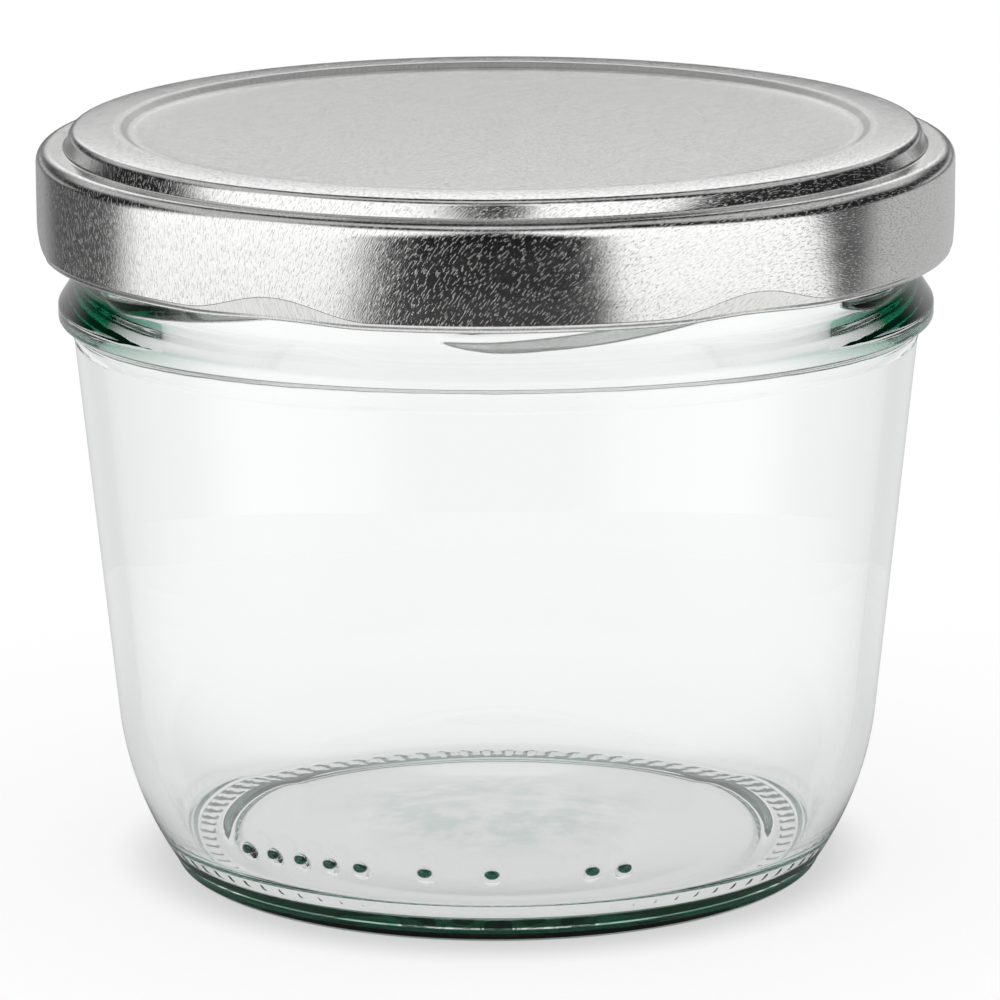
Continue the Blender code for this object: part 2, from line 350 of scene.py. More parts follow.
def rounded(corners):
    """Points along the outline through corners of (r, z, round, steps)."""
    points = []
    last = len(corners) - 1
    for i, (r, z, radius, steps) in enumerate(corners):
        corner = Vector((r, z))
        if i in (0, last) or radius == 0:
            points.append(corner)
            continue
        back = Vector(corners[i - 1][:2]) - corner
        ahead = Vector(corners[i + 1][:2]) - corner
        half = back.angle(ahead) / 2
        reach = min(radius / math.tan(half), back.length / 2, ahead.length / 2)
        start = corner + back.normalized() * reach
        bisector = (back.normalized() + ahead.normalized()).normalized()
        centre = corner + bisector * (reach / math.cos(half))
        sweep = math.copysign(math.pi - 2 * half, ahead.cross(back))
        for step in range(steps + 1):
            points.append(centre + Matrix.Rotation(sweep * step / steps, 2) @ (start - centre))
    return [(p.x, p.y) for p in points]


def spread(points, longest):
    """The same line with points added so that no stretch is longer than asked."""
    line = [points[0]]
    for (r0, z0), (r1, z1) in zip(points, points[1:]):
        parts = max(1, math.ceil(math.hypot(r1 - r0, z1 - z0) / longest))
        for k in range(1, parts + 1):
            line.append((r0 + (r1 - r0) * k / parts, z0 + (z1 - z0) * k / parts))
    return line


def even_angles(count):
    return np.arange(count) * (math.tau / count)


def level_ring(angles, r, z):
    """A ring at one height."""
    return angles, np.full(len(angles), r), np.full(len(angles), z)


def tip(z):
    """A ring of one point, on the axis."""
    return level_ring(np.zeros(1), 0.0, z)


def zip_rings(low, high, low_angles, high_angles):
    """Triangles between two rings of vertices that have different angles."""
    faces = []
    i = j = 0
    n, m = len(low), len(high)
    while i < n or j < m:
        next_low = low_angles[(i + 1) % n] + (math.tau if i + 1 >= n else 0)
        next_high = high_angles[(j + 1) % m] + (math.tau if j + 1 >= m else 0)
        if j >= m or (i < n and next_low <= next_high):
            faces.append((low[i % n], high[j % m], low[(i + 1) % n]))
            i += 1
        else:
            faces.append((low[i % n], high[j % m], high[(j + 1) % m]))
            j += 1
    return faces


def turned(name, rows, loop=False):
    """A mesh through rings, each given as (angles, radii, heights). A ring of one point closes an end."""
    verts, faces, rings = [], [], []
    start = 0
    for angles, radii, heights in rows:
        ring = np.stack([radii * np.cos(angles), radii * np.sin(angles), heights + 0 * radii], axis=1)
        verts.append(ring)
        rings.append(np.arange(start, start + len(ring)))
        start += len(ring)
    order = list(range(len(rows))) + ([0] if loop else [])
    for a, b in zip(order, order[1:]):
        low, high = rings[a], rings[b]
        if len(low) == 1:
            faces += [(int(low[0]), int(p), int(q)) for p, q in zip(high, np.roll(high, -1))]
        elif len(high) == 1:
            faces += [(int(p), int(high[0]), int(q)) for p, q in zip(low, np.roll(low, -1))]
        elif len(low) == len(high):
            quads = np.stack([low, high, np.roll(high, -1), np.roll(low, -1)], axis=1)
            faces += [tuple(q) for q in quads.tolist()]
        else:
            faces += [tuple(map(int, f)) for f in zip_rings(low, high, rows[a][0], rows[b][0])]
    mesh = bpy.data.meshes.new(name)
    mesh.from_pydata(np.concatenate(verts).tolist(), [], faces)
    mesh.update()
    if signed_volume(mesh) < 0:
        mesh.flip_normals()
    mesh.shade_smooth()
    obj = bpy.data.objects.new(name, mesh)
    bpy.context.scene.collection.objects.link(obj)
    return obj


def signed_volume(mesh):
    mesh.calc_loop_triangles()
    corners = np.zeros(len(mesh.loop_triangles) * 3, np.int32)
    mesh.loop_triangles.foreach_get("vertices", corners)
    points = np.zeros(len(mesh.vertices) * 3, np.float32)
    mesh.vertices.foreach_get("co", points)
    a, b, c = np.swapaxes(points.reshape(-1, 3)[corners.reshape(-1, 3)].astype(float), 0, 1)
    return float(np.einsum("ij,ij->i", a, np.cross(b, c)).sum())


def smooth_least(a, b, soft):
    return (a + b - np.sqrt((a - b) ** 2 + soft ** 2)) / 2


def smooth_most(a, b, soft):
    return (a + b + np.sqrt((a - b) ** 2 + soft ** 2)) / 2


def eased(share, corner):
    """A straight climb from 0 to 1 that starts and ends with a curve of the given share."""
    if share < corner:
        return share ** 2 / (2 * corner * (1 - corner))
    if share > 1 - corner:
        return 1 - (1 - share) ** 2 / (2 * corner * (1 - corner))
    return (share - corner / 2) / (1 - corner)


def ripple(angles, counts, seed):
    """A smooth uneven wave round the jar, between about -1 and 1."""
    rng = np.random.default_rng(seed)
    wave = np.zeros_like(angles)
    for count in counts:
        wave = wave + rng.uniform(0.5, 1) * np.sin(count * angles + rng.uniform(0, math.tau))
    return wave / len(counts)


# Glass

def body_side(z):
    return body_radius - body_taper_share * (body_top - z)


def heel_arc(level):
    """Radius and slope below the horizontal on the heel's arc at a height."""
    start_angle = math.atan(body_taper_share)
    angle = math.asin(min(math.sin(start_angle) + (heel_height - level) / heel_radius, 1.0))
    return body_side(heel_height) - heel_radius * (math.cos(start_angle) - math.cos(angle)), angle


def land_edge():
    """Outer radius of the knurled land that the jar stands on."""
    return heel_arc(foot_level)[0] - foot_round


def inner_heel():
    """The inside from the floor's edge to the wall: a fillet, then an arc concentric with the heel."""
    start_angle = math.atan(body_taper_share)
    centre_r = body_side(heel_height) - heel_radius * math.cos(start_angle)
    centre_z = heel_height + heel_radius * math.sin(start_angle)
    reach = heel_radius - heel_thickness
    drop = centre_z - floor_level - inner_heel_round
    turn = math.asin(drop / (reach - inner_heel_round))
    fillet_r = centre_r + (reach - inner_heel_round) * math.cos(turn)
    fillet_z = floor_level + inner_heel_round
    points = []
    for step in range(17):
        angle = math.pi / 2 + (turn - math.pi / 2) * step / 16
        r = fillet_r + inner_heel_round * math.cos(angle)
        z = fillet_z - inner_heel_round * math.sin(angle)
        points.append((r, z))
    for step in range(1, 9):
        angle = turn + (start_angle - turn) * step / 8
        points.append((centre_r + reach * math.cos(angle), centre_z - reach * math.sin(angle)))
    return points


def ramp_reach(angles, z):
    """How far the thread stands out of the neck at each angle, at a height."""
    length = ramp_high_deg - ramp_low_deg
    around = (np.degrees(angles) - lug_first_deg - ramp_low_deg) % lug_pitch_deg
    share = np.clip(around / length, 0, 1)

    def climb(s):
        return ramp_start_share * s + (1 - ramp_start_share) * s * s

    level = ramp_hold_level + ramp_rise * (climb(share) - climb(-ramp_low_deg / length))
    fade = np.minimum(np.minimum(around / ramp_low_fade_deg, (length - around) / ramp_high_fade_deg), 1)
    fade = np.sin(np.clip(fade, 0, 1) * math.pi / 2)
    below = ramp_proud - (level - z)
    above = ramp_proud - (z - level - ramp_band) / ramp_top_share
    crest = smooth_least(smooth_least(below, above, ramp_soft), ramp_proud, ramp_soft)
    reach = smooth_most(crest - ramp_proud * (1 - fade), 0, ramp_soft)
    return reach * (around < length + ramp_low_fade_deg)


def bump_lift(angles, z, r):
    """How far the bumps stand out of the heel at each angle, at a height."""
    lift = np.zeros_like(angles)
    for place in bump_places:
        at = math.radians(bump_first_deg + bump_pitch_deg * place) % math.tau
        far = np.hypot((angles - at) * r, (z - bump_level)) / bump_radius
        lift = np.maximum(lift, bump_proud * np.clip(1 - far ** 2, 0, 1) ** bump_roundness)
    return lift


def knurl_drop(angles, r, land_outer):
    """Rounded radial bars that fade out at both ends of their length."""
    across = (angles * knurl_count / math.tau + 0.5) % 1 - 0.5
    across = across * math.tau * r / knurl_count / (knurl_width / 2)
    middle = land_outer - land_width / 2
    along = (r - middle) / (knurl_length / 2)
    end = np.clip((knurl_end - abs(along)) / knurl_end_run, 0, 1)
    return knurl_height * np.clip(knurl_crown * (1 - across ** 2), 0, 1) ** knurl_roundness * end


def inside_rows():
    """From the middle of the floor up the wall and over the rim."""
    heel_line = inner_heel()
    floor_edge = heel_line[0][0]
    inner_high = body_side(body_top) - wall_thickness
    floor = []
    for step in range(12):
        share = step / 12
        floor.append((floor_edge * share, floor_level + floor_crown * (1 + math.cos(math.pi * share)) / 2))
    upper = spread(rounded([
        (*heel_line[-1], 0, 0),
        (inner_high, body_top, neck_blend, 4),
        (mouth_radius, bead_top, neck_blend, 4),
        (mouth_radius, jar_height, rim_inner_round, 8),
        (neck_radius, jar_height, rim_outer_round, 8),
        (neck_radius, jar_height - 2 * rim_outer_round, 0, 0),
    ]), longest_glass_step)[1:-1]
    plain = even_angles(plain_columns)
    return [tip(floor[0][1])] + [level_ring(plain, r, z) for r, z in floor[1:] + heel_line + upper]


def neck_rows():
    """The neck with its thread, down to the top of the bead."""
    threaded = even_angles(threaded_columns)
    ramp_top = ramp_hold_level + ramp_rise * ramp_over_share + ramp_band + ramp_proud
    levels = np.arange(ramp_top, bead_top, -neck_row_step)
    return [level_ring(threaded, neck_radius + ramp_reach(threaded, z), z) for z in levels]


def bead_rows():
    """The bead and the parting line below it."""
    threaded = even_angles(threaded_columns)
    front = np.sin(threaded) ** 2
    crest = bead_crest + bead_crest_rise * front
    rows = []
    for share in np.linspace(1, 0, bead_rows_each):
        swell = bead_proud * (1 - eased(share, bead_corner_share))
        z = bead_top * share + crest * (1 - share)
        extra = 0
        if share > ramp_end_on_bead:
            extra = smooth_most(ramp_reach(threaded, z) - swell, 0, ramp_soft)
        rows.append((threaded, neck_radius + swell + extra + 0 * threaded, z))
    wobble = bead_wobble * ripple(threaded, bead_waves, bead_wave_seed)
    face_end = crest - bead_face + bead_face_less * front
    lower = bead_lower_round - bead_lower_less * front
    for share in np.linspace(0, 1, bead_rows_each):
        z = face_end - lower * share + wobble * share
        swell = (neck_radius + bead_proud - body_side(face_end)) * (1 - eased(share, bead_foot_share))
        rows.append((threaded, body_side(z) + swell, z))
    uneven = parting_unevenness * ripple(threaded, parting_waves, parting_wave_seed)
    step_out = parting_step * (1 + uneven)
    parting = bead_crest - parting_drop + parting_rise * front
    for drop, share in parting_profile:
        z = parting - drop + wobble
        rows.append((threaded, body_side(z) + step_out * share, z))
    return rows


def side_rows():
    """The tapered side, then the heel with its bumps."""
    plain = even_angles(plain_columns)
    bump_low = bump_level - bump_band
    bump_high = bump_level + bump_band
    first = math.radians(bump_first_deg - bump_pitch_deg / 2) % math.tau
    last = math.radians(bump_first_deg + bump_pitch_deg * (bump_places[-1] + 0.5)) % math.tau
    beside = plain[(plain < first - bump_margin) | (plain > last + bump_margin)]
    bumpy = np.sort(np.concatenate([beside, np.linspace(first, last, bump_columns)]))
    rows = []
    for z in np.linspace(body_top - side_start, heel_height, 14):
        rows.append(level_ring(plain, body_side(z), z))
    for z in np.linspace(heel_height, bump_high, 8)[1:-1]:
        rows.append(level_ring(plain, heel_arc(z)[0], z))
    for z in np.linspace(bump_high, bump_low, bump_rows):
        r, slope = heel_arc(z)
        lift = bump_lift(bumpy, z, r)
        rows.append((bumpy, r + lift * math.cos(slope), z - lift * math.sin(slope)))
    for z in np.linspace(bump_low, foot_level, 8)[1:]:
        rows.append(level_ring(plain, heel_arc(z)[0], z))
    return rows


def foot_rows():
    """The rounded foot, the knurled land and the push-up, to the middle of the underside."""
    plain = even_angles(plain_columns)
    knurled = even_angles(knurl_count * columns_per_knurl)
    land_outer = land_edge()
    land_inner = land_outer - land_width
    dome_edge = land_inner - push_up_run
    dome_level = knurl_height + push_up
    rows = []
    for share in np.linspace(0, 1, 5)[1:]:
        turn = share * math.pi / 2
        r = land_outer + foot_round * math.cos(turn)
        rows.append(level_ring(knurled, r, foot_level - foot_round * math.sin(turn)))
    for r in np.linspace(land_outer, land_inner, knurl_rows)[1:]:
        rows.append((knurled, np.full(len(knurled), r), knurl_height - knurl_drop(knurled, r, land_outer)))
    for share in np.linspace(0, 1, 9)[1:]:
        rise = (1 - math.cos(math.pi * share)) / 2
        rows.append(level_ring(plain, land_inner - push_up_run * share, knurl_height + push_up * rise))
    for share in np.linspace(1, 0, 12)[1:-1]:
        rise = (1 + math.cos(math.pi * share)) / 2
        rows.append(level_ring(plain, dome_edge * share, dome_level + push_up_crown * rise))
    return rows + [tip(dome_level + push_up_crown)]


def glass_rows():
    """All rings of the glass, from the middle of its floor round the rim to the middle of its underside."""
    return inside_rows() + neck_rows() + bead_rows() + side_rows() + foot_rows()


# Lid

def lug_window(angles, half_deg):
    """A smooth share that is 1 at the middle of each lug and 0 beyond its half width."""
    off = (np.degrees(angles) - lug_first_deg + lug_pitch_deg / 2) % lug_pitch_deg - lug_pitch_deg / 2
    return np.where(abs(off) < half_deg, np.cos(off / half_deg * math.pi / 2) ** 2, 0)


def lid_rows():
    """The outer skin, from the middle of the panel to the end of the curl."""
    angles = even_angles(lid_columns)
    window = lug_window(angles, lug_facet_deg)
    pushed = lug_window(angles, lug_half_deg)
    panel = lid_crown - panel_drop
    shoulder = lid_crown - wall_height
    top = lid_base + lug_rise + curl_radius
    shape = spread(rounded([
        (0, panel, 0, 0),
        (panel_radius, panel, panel_round, 8),
        (channel_radius, lid_crown, panel_round, 8),
        (ridge_radius, lid_crown - ridge_fall, ridge_round, 10),
        (ridge_radius + wall_draft, shoulder, groove_round, 5),
        (lid_radius, shoulder + shoulder_rise, shoulder_round, 12),
        (lid_radius, top, 0, 0),
    ]), longest_lid_step)
    rows = [tip(panel)] + [level_ring(angles, r, z) for r, z in shape[1:]]

    # Skirt, down to the crease that the lugs and the curl hang from
    line = lid_base + curl_band + (lug_rise - curl_band) * window
    edge = lid_radius - skirt_draft

    def skirt(z):
        return lid_radius - skirt_draft * (top - z) / (top - lid_base - curl_band)

    above_line = line + crease_width
    for share in np.linspace(0, 1, 9)[1:]:
        z = top + (above_line - top) * share
        rows.append((angles, skirt(z), z))
    rows.append((angles, skirt(line), line))
    lean = lug_depth * window
    foot = lid_base + curl_radius
    for share in crease_shares:
        z = line + (foot - line) * share
        step = curl_step * window * min(1, share * crease_sharpness)
        turn_in = (lean + band_lean) * share
        rows.append((angles, skirt(line) + (edge - skirt(line)) * share - step - turn_in, z))

    # Curl, pushed in at each lug
    flat = 1 - lug_flat_share * window
    push = edge - band_lean - 2 * curl_radius - lug_tip - lug_depth
    for step in range(1, curl_steps + 1):
        turn = math.radians(curl_sweep_deg) * step / curl_steps
        inward = (1 - math.cos(turn)) / 2
        r = edge - band_lean - curl_step * window - curl_radius * (1 - math.cos(turn))
        z = lid_base + curl_radius * (1 - math.sin(turn))
        r = r - lean - push * pushed * inward
        z = lid_base + (z - lid_base) * (1 - (1 - flat) * inward)
        rows.append((angles, r, z + 0 * angles))
    return rows


def seal_rows():
    """The closed outline of the ring of compound."""
    middle = (seal_inner + seal_outer) / 2
    corners = rounded([
        (middle, seal_bottom, 0, 0),
        (seal_inner, seal_bottom, seal_round, 4),
        (seal_inner, seal_top, seal_round, 4),
        (seal_outer, seal_top - ridge_fall, seal_round, 4),
        (seal_outer, seal_bottom, seal_round, 4),
        (middle, seal_bottom, 0, 0),
    ])[:-1]
    angles = even_angles(plain_columns)
    return [level_ring(angles, r, z) for r, z in corners]


# Materials

class Tree:
    """Short ways to add and join shader nodes."""

    def __init__(self, tree):
        self.tree = tree

    def node(self, kind, **settings):
        made = self.tree.nodes.new(kind)
        for name, value in settings.items():
            setattr(made, name, value)
        return made

    def set(self, socket, value):
        if isinstance(value, bpy.types.NodeSocket):
            self.tree.links.new(value, socket)
        elif value is not None:
            socket.default_value = value

    def math(self, operation, a, b=None):
        made = self.node("ShaderNodeMath", operation=operation)
        for socket, value in zip(made.inputs, (a, b)):
            self.set(socket, value)
        return made.outputs[0]

    def times(self, a, b):
        return self.math("MULTIPLY", a, b)

    def larger(self, a, b):
        return self.math("MAXIMUM", a, b)

    def vector_math(self, operation, a, b):
        made = self.node("ShaderNodeVectorMath", operation=operation)
        self.set(made.inputs[0], a)
        self.set(made.inputs[1], b)
        return made.outputs

    def ramp(self, value, low, high, to_low=0.0, to_high=1.0):
        made = self.node("ShaderNodeMapRange", interpolation_type="SMOOTHSTEP")
        for socket, number in zip(made.inputs, (value, low, high, to_low, to_high)):
            self.set(socket, number)
        return made.outputs[0]

    def mix(self, factor, a, b, data_type="RGBA", blend_type="MIX"):
        made = self.node("ShaderNodeMix", data_type=data_type, blend_type=blend_type)
        for name, value in (("Factor", factor), ("A", a), ("B", b)):
            self.set(made.inputs[name], value)
        return made.outputs["Result"]

    def multiply(self, a, b):
        return self.mix(1, a, b, blend_type="MULTIPLY")

    def blend(self, factor, a, b):
        return self.mix(factor, a, b, data_type="FLOAT")

    def noise(self, vector, scale, detail, rough):
        made = self.node("ShaderNodeTexNoise")
        self.set(made.inputs["Vector"], vector)
        made.inputs["Scale"].default_value = scale
        made.inputs["Detail"].default_value = detail
        made.inputs["Roughness"].default_value = rough
        return made.outputs["Fac"]

    def bump(self, height, strength, distance):
        made = self.node("ShaderNodeBump")
        made.inputs["Strength"].default_value = strength
        made.inputs["Distance"].default_value = distance
        self.set(made.inputs["Height"], height)
        return made.outputs[0]

    def place(self):
        return self.node("ShaderNodeTexCoord").outputs["Object"]

    def split(self, vector):
        made = self.node("ShaderNodeSeparateXYZ")
        self.set(made.inputs[0], vector)
        return made.outputs

    def from_axis(self, x, y):
        """Distance from the jar's axis."""
        return self.math("SQRT", self.math("ADD", self.times(x, x), self.times(y, y)))

    def azimuth(self, x, y):
        """Degrees round the axis from the camera's side, which grow to the right."""
        return self.math("DEGREES", self.math("ARCTAN2", x, self.times(y, -1.0)))


def new_material(name):
    material = bpy.data.materials.new(name)
    material.use_nodes = True
    tree = Tree(material.node_tree)
    shader = material.node_tree.nodes["Principled BSDF"]
    return material, tree, shader


def foot_places(tree, z):
    """The band of green and painted shade round the foot and the darkest part of it, above a clear line."""
    foot = tree.ramp(z, foot_green_top - foot_green_soft, foot_green_top + foot_green_soft, 1, 0)
    foot = tree.times(foot, tree.ramp(z, *foot_green_bottom))
    off_line = tree.math("ABSOLUTE", tree.math("SUBTRACT", z, foot_line))
    foot = tree.times(foot, tree.ramp(off_line, *foot_line_edge))
    return foot, tree.times(foot, tree.ramp(z, foot_line, foot_line + brow_run))


def bump_spots(tree, place):
    """A spot of green and painted shade on each of the heel's bumps, a little above its middle and wider
    than tall.
    """
    taller = tree.vector_math("MULTIPLY", place, (1, 1, bump_squash))[0]
    reach = heel_arc(bump_level)[0]
    height = (bump_level + bump_green_rise) * bump_squash
    spots = None
    for number in bump_places:
        at = math.radians(bump_first_deg + bump_pitch_deg * number)
        middle = (reach * math.cos(at), reach * math.sin(at), height)
        distance = tree.vector_math("DISTANCE", taller, middle)["Value"]
        spot = tree.ramp(distance, *bump_green_edge, 1, 0)
        spots = spot if spots is None else tree.larger(spots, spot)
    return spots


def finish_places(tree, z):
    """The bead's upper flank and the neck, where they are seen edge-on and get green with painted deep
    shade.
    """
    weight = tree.node("ShaderNodeLayerWeight")
    weight.inputs["Blend"].default_value = 0.5
    facing = weight.outputs["Facing"]
    flank = tree.ramp(z, bead_top, bead_top + flank_run, 1, 0)
    flank = tree.times(flank, tree.ramp(facing, *flank_edge_on))
    above_crest = tree.ramp(z, bead_crest, bead_crest + finish_run)
    return tree.times(above_crest, tree.larger(flank, tree.ramp(facing, *finish_edge_on)))


def floor_patch(tree, place, z, radius):
    """The cloudy patch in the middle of the floor."""
    low = tree.times(tree.ramp(radius, *floor_green_edge, 1, 0), tree.ramp(z, *floor_green_top, 1, 0))
    return tree.times(low, tree.ramp(tree.noise(place, *floor_noise), *floor_cloud))


def deep_places(tree, outside):
    """Green where light that has come a long way through the glass leaves it, with painted shade at the
    foot, the bumps and the edge-on finish.
    """
    place = tree.place()
    x, y, z = tree.split(place)
    foot, brow = foot_places(tree, z)
    greens = (
        (foot, foot_green_and_painted_shade),
        (brow, brow_green_and_painted_shade),
        (bump_spots(tree, place), bump_green_and_painted_shade),
        (finish_places(tree, z), finish_green_and_painted_shade),
        (floor_patch(tree, place, z, tree.from_axis(x, y)), floor_green),
    )
    tint = white
    for mask, green in greens:
        # The shader lets the square root of its colour through
        squared = tuple(level * level for level in green) + (1,)
        tint = tree.multiply(tint, tree.mix(tree.times(mask, outside), white, squared))
    return tint


def foot_edge(tree):
    """The foot's rounded edge, made matt and pale as a painted highlight."""
    x, y, z = tree.split(tree.place())
    beside = tree.ramp(tree.from_axis(x, y), land_edge(), land_edge() + rim_highlight_run)
    return tree.times(beside, tree.ramp(z, *rim_highlight_top, 1, 0))


def glass_material():
    material, tree, shader = new_material("green_tinted_glass")
    shader.inputs["Roughness"].default_value = 0
    shader.inputs["IOR"].default_value = glass_ior
    inside = tree.node("ShaderNodeNewGeometry").outputs["Backfacing"]
    outside = tree.math("SUBTRACT", 1.0, inside)
    length = tree.times(tree.node("ShaderNodeLightPath").outputs["Ray Length"], inside)
    tint = tree.mix(tree.ramp(length, *thick_glass), white, bead_green)
    tint = tree.multiply(tint, tree.mix(tree.ramp(length, *deep_glass), white, base_green))
    tint = tree.multiply(tint, deep_places(tree, outside))
    # A painted highlight: a matt pale rim on the outside of the foot's edge
    rim_highlight = tree.times(foot_edge(tree), outside)
    tree.set(shader.inputs["Base Color"], tree.mix(rim_highlight, tint, rim_highlight_glass))
    clear = tree.math("SUBTRACT", 1.0, tree.times(rim_highlight, rim_highlight_share))
    tree.set(shader.inputs["Transmission Weight"], clear)
    volume = tree.node("ShaderNodeVolumeAbsorption")
    volume.inputs["Color"].default_value = body_tint
    volume.inputs["Density"].default_value = body_tint_density
    tree.set(material.node_tree.nodes["Material Output"].inputs["Volume"], volume.outputs[0])
    return material


def flat_blank(tree, x, y, radius, depth):
    """Where a point of the pressed lid lay on the flat sheet, drawn out along the sheet's grain."""
    unfold = tree.math("DIVIDE", tree.math("ADD", radius, depth), tree.larger(radius, MM))
    blank = tree.node("ShaderNodeCombineXYZ")
    tree.set(blank.inputs[0], tree.times(x, unfold))
    tree.set(blank.inputs[1], tree.times(y, unfold))
    turn = tree.node("ShaderNodeVectorRotate", rotation_type="Z_AXIS")
    tree.set(turn.inputs["Vector"], blank.outputs[0])
    turn.inputs["Angle"].default_value = math.radians(-grain_deg)
    return tree.vector_math("MULTIPLY", turn.outputs[0], (grain_stretch, 1, 1))[0]


def tinplate_material():
    """Bright rolled sheet, with a grain that was straight before the lid was pressed."""
    material, tree, shader = new_material("tinplate")
    shader.inputs["Metallic"].default_value = 1
    x, y, z = tree.split(tree.place())
    radius = tree.from_axis(x, y)
    depth = tree.larger(tree.math("SUBTRACT", lid_crown, z), 0.0)
    rolled = flat_blank(tree, x, y, radius, depth)
    flecks = tree.noise(rolled, *fleck_noise)
    mottle = tree.noise(rolled, *mottle_noise)
    ridges = tree.ramp(tree.noise(rolled, *ridge_noise), *ridge_spots)
    height = tree.math("ADD", flecks, tree.times(mottle, mottle_share))
    height = tree.math("ADD", height, ridges)
    tree.set(shader.inputs["Normal"], tree.bump(height, 1, grain_height))
    shade = tree.ramp(flecks, *metal_shade)
    tint = tree.node("ShaderNodeCombineColor")
    for socket, share in zip(tint.inputs, metal_hue):
        tree.set(socket, tree.times(shade, share))
    tree.set(shader.inputs["Base Color"], tint.outputs[0])
    # The sheet is duller where it was drawn over the panel's step
    step_out = tree.ramp(radius, panel_radius - drawn_run, panel_radius, 0, 1)
    step_in = tree.ramp(radius, channel_radius, channel_radius + drawn_run, 1, 0)
    on_top = tree.ramp(depth, *drawn_depth, 1, 0)
    dull = tree.times(tree.times(step_out, step_in), tree.times(on_top, drawn_dull))
    roughness = tree.math("ADD", tree.ramp(mottle, *metal_roughness), dull)
    tree.set(shader.inputs["Roughness"], roughness)
    return material


def seal_material():
    """Dull off-white compound with fine pores."""
    material, tree, shader = new_material("sealing_compound")
    place = tree.place()
    cloud = tree.noise(place, *compound_noise)
    pores = tree.noise(place, *pore_noise)
    tree.set(shader.inputs["Base Color"], tree.mix(cloud, compound_dark, compound_pale))
    tree.set(shader.inputs["Roughness"], tree.ramp(cloud, *compound_roughness))
    tree.set(shader.inputs["Normal"], tree.bump(pores, pore_strength, pore_depth))
    return material


def dress(obj, material, node, body):
    obj.data.materials.append(material)
    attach(obj, body)
    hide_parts(node)


def make_lid():
    lid = turned("tinplate_lid", lid_rows())
    wall = lid.modifiers.new("sheet", "SOLIDIFY")
    wall.thickness = sheet
    wall.offset = -1
    wall.use_even_offset = True
    dress(lid, tinplate_material(), "lid_shell", "lid")


# Studio

def softboxes(tree, azimuth, elevation):
    """A softbox at each side, both edges of which lean with the elevation."""
    above = tree.math("ADD", elevation, box_lean_base_deg)
    sides = []
    for (inner, inner_lean, outer, outer_lean), sign in ((left_box, -1.0), (right_box, 1.0)):
        at = tree.times(azimuth, sign)
        low = tree.math("ADD", tree.times(above, inner_lean), inner)
        high = tree.math("ADD", tree.times(above, outer_lean), outer)
        past_low = tree.ramp(tree.math("SUBTRACT", at, low), -box_soft_deg, box_soft_deg)
        past_high = tree.ramp(tree.math("SUBTRACT", at, high), -box_soft_deg, box_soft_deg, 1, 0)
        sides.append(tree.times(past_low, past_high))
    reach = tree.times(tree.ramp(elevation, *box_top), tree.ramp(elevation, *box_bottom))
    return tree.times(tree.larger(*sides), tree.times(reach, tree.ramp(elevation, *box_power)))


def metal_front(tree, azimuth, side, elevation):
    """The softboxes, the dark gap between them and the dim fill beyond them."""
    fill = tree.larger(tree.ramp(azimuth, *fill_right), tree.ramp(azimuth, *fill_left))
    fill = tree.blend(tree.ramp(elevation, *fill_low_end), fill, fill_low_level)
    fill = tree.blend(tree.ramp(elevation, *fill_high_start), fill, fill_high_level)
    between = tree.blend(tree.ramp(side, *gap_end), tree.ramp(elevation, *box_gap), fill)
    return tree.larger(softboxes(tree, azimuth, elevation), between)


def metal_back(tree, side, elevation):
    """A pale wall, brightest in the middle, over a dark strip, and the table below the horizon."""
    middle = tree.ramp(side, *wall_middle)
    beside = tree.larger(tree.ramp(elevation, *strip_bottom), tree.ramp(elevation, *strip_top))
    low = tree.blend(middle, beside, tree.ramp(elevation, *middle_bottom))
    wall = tree.math("ADD", low, tree.times(tree.ramp(elevation, *middle_extra), middle))
    wall = tree.blend(tree.ramp(elevation, *wall_top), wall, tree.ramp(side, *wall_above))
    return tree.larger(wall, tree.ramp(elevation, *table_edge))


def studio():
    """A photographer's table: softboxes at both sides, one overhead, a pale wall behind, dark between."""
    world = bpy.data.worlds.new("studio")
    bpy.context.scene.world = world
    world.use_nodes = True
    tree = Tree(world.node_tree)
    background = world.node_tree.nodes["Background"]
    x, y, z = tree.split(tree.node("ShaderNodeTexCoord").outputs["Generated"])
    azimuth = tree.azimuth(x, y)
    side = tree.math("ABSOLUTE", azimuth)
    elevation = tree.math("DEGREES", tree.math("ARCSINE", z))
    path = tree.node("ShaderNodeLightPath").outputs

    behind = tree.times(tree.ramp(side, *wall_start), tree.ramp(elevation, *wall_bottom))
    front = metal_front(tree, azimuth, side, elevation)
    metal = tree.blend(behind, front, metal_back(tree, side, elevation))
    metal = tree.larger(metal, tree.ramp(elevation, *overhead))

    # Through the glass: the table all round, dimmer at the sides and towards the camera
    beyond = tree.ramp(side, *glass_behind, around_sides, through_glass)
    ground = tree.blend(tree.ramp(side, *front_turn), around_front, beyond)
    glass = tree.blend(tree.ramp(elevation, *glass_horizon), ground, glass_above)

    # What the glass mirrors: soft lights beside the camera, and above the horizon its own deep green
    lit = tree.times(tree.ramp(side, *mirror_start), tree.ramp(side, *mirror_end))
    mirrored = tree.larger(tree.times(lit, mirror_power), tree.ramp(side, *mirror_back))
    sharp = tree.times(path["Is Singular Ray"], path["Is Glossy Ray"])
    green = tree.times(tree.ramp(elevation, *mirrored_green_start), sharp)
    green = tree.times(green, tree.math("SUBTRACT", 1.0, path["Is Transmission Ray"]))

    level = tree.blend(sharp, metal, mirrored)
    level = tree.blend(path["Is Transmission Ray"], level, glass)
    level = tree.blend(path["Is Camera Ray"], level, 1.0)
    level = tree.blend(path["Is Diffuse Ray"], level, 1.0)
    tree.set(background.inputs["Strength"], level)
    tree.set(background.inputs["Color"], tree.mix(green, white, mirrored_green))


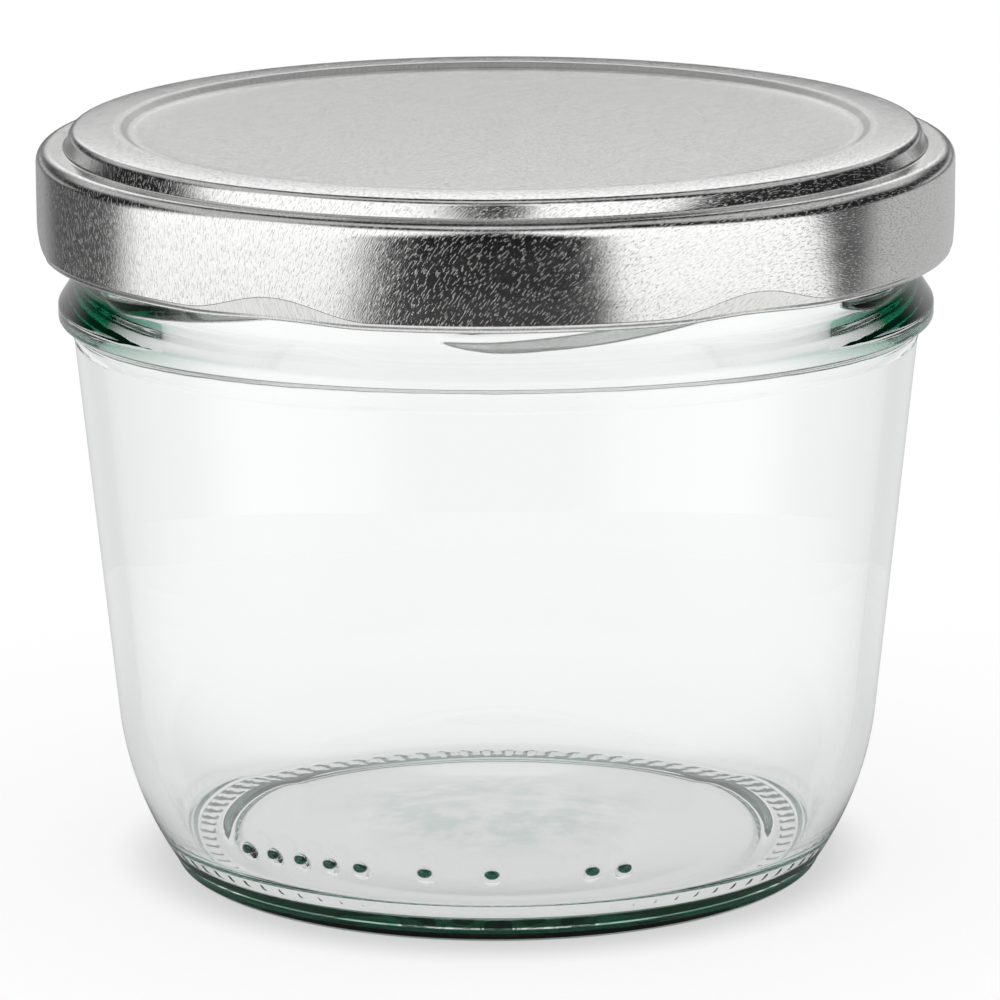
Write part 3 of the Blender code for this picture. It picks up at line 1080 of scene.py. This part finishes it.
def floor_glow(tree):
    """Light from the floor itself, which keeps it white to the camera and pale in the glass and the lid."""
    path = tree.node("ShaderNodeLightPath").outputs
    x, y = tree.split(tree.place())[:2]
    radius = tree.from_axis(x, y)
    side = tree.math("ABSOLUTE", tree.azimuth(x, y))
    # Through the glass: as pale as the surround, dimmer at the sides, and a painted pool of light under the
    # jar
    beyond = tree.ramp(side, *floor_behind, around_sides, through_glass)
    around = tree.blend(tree.ramp(side, *front_turn), around_front, beyond)
    under = tree.ramp(radius, *floor_under, 1, 0)
    shown = tree.blend(under, tree.math("SUBTRACT", around, floor_matt), floor_under_level)
    # A painted contact shadow: the floor's glow is dimmer close to the foot, where little of the surround's
    # light reaches
    plain = tree.ramp(radius, *floor_near, floor_near_white - floor_matt, floor_white - floor_matt)
    level = tree.blend(path["Is Transmission Ray"], plain, tree.larger(shown, 0.0))
    # The lid's lugs and curl mirror a table that ends a little way from the jar
    mirror = tree.larger(tree.math("SUBTRACT", path["Is Glossy Ray"], path["Is Transmission Ray"]), 0.0)
    level = tree.blend(mirror, level, tree.ramp(radius, *metal_table_end, floor_white - floor_matt, 0))
    # The glass mirrors a dimmer table, and a dark line where it meets the table
    line = tree.ramp(radius, *glass_table_line, glass_table_dark, glass_table_level - floor_matt)
    level = tree.blend(tree.times(mirror, path["Is Singular Ray"]), level, line)
    return tree.times(tree.math("SUBTRACT", 1.0, path["Is Diffuse Ray"]), level)


def make_floor():
    """A pale disc that is white where nothing shades it and keeps the jar's shadow."""
    bpy.ops.mesh.primitive_circle_add(
        vertices=floor_sides, radius=floor_radius, fill_type="NGON", location=(0, 0, -floor_drop))
    floor = bpy.context.object
    floor.name = "floor"
    material = bpy.data.materials.new("pale_floor")
    material.use_nodes = True
    material.node_tree.nodes.clear()
    tree = Tree(material.node_tree)
    diffuse = tree.node("ShaderNodeBsdfDiffuse")
    diffuse.inputs["Color"].default_value = (floor_matt, floor_matt, floor_matt, 1)
    glow = tree.node("ShaderNodeEmission")
    tree.set(glow.inputs["Strength"], floor_glow(tree))
    both = tree.node("ShaderNodeAddShader")
    tree.set(both.inputs[0], diffuse.outputs[0])
    tree.set(both.inputs[1], glow.outputs[0])
    tree.set(tree.node("ShaderNodeOutputMaterial").inputs["Surface"], both.outputs[0])
    floor.data.materials.append(material)


def make_camera():
    """The photograph's view: a long lens, a little above the jar."""
    data = bpy.data.cameras.new("camera")
    data.sensor_width = film_width
    data.lens = film_width * view_length
    data.clip_start = view_near
    data.shift_x = view_shift
    camera = bpy.data.objects.new("camera", data)
    bpy.context.scene.collection.objects.link(camera)
    tilt = Matrix.Rotation(math.radians(90 - camera_down_deg), 4, "X")
    roll = Matrix.Rotation(camera_roll, 4, "Z")
    camera.matrix_world = Matrix.Translation(camera_place) @ tilt @ roll
    bpy.context.scene.camera = camera


make_camera()
studio()
make_floor()
dress(turned("glass_body", glass_rows()), glass_material(), "glass_jar", "jar")
make_lid()
compound = turned("compound_ring", seal_rows(), loop=True)
dress(compound, seal_material(), "sealing_ring", "seal")

scene = bpy.context.scene
scene.view_settings.view_transform = "Standard"
scene.cycles.max_bounces = glass_bounces
scene.cycles.transmission_bounces = glass_bounces
scene.cycles.glossy_bounces = metal_bounces
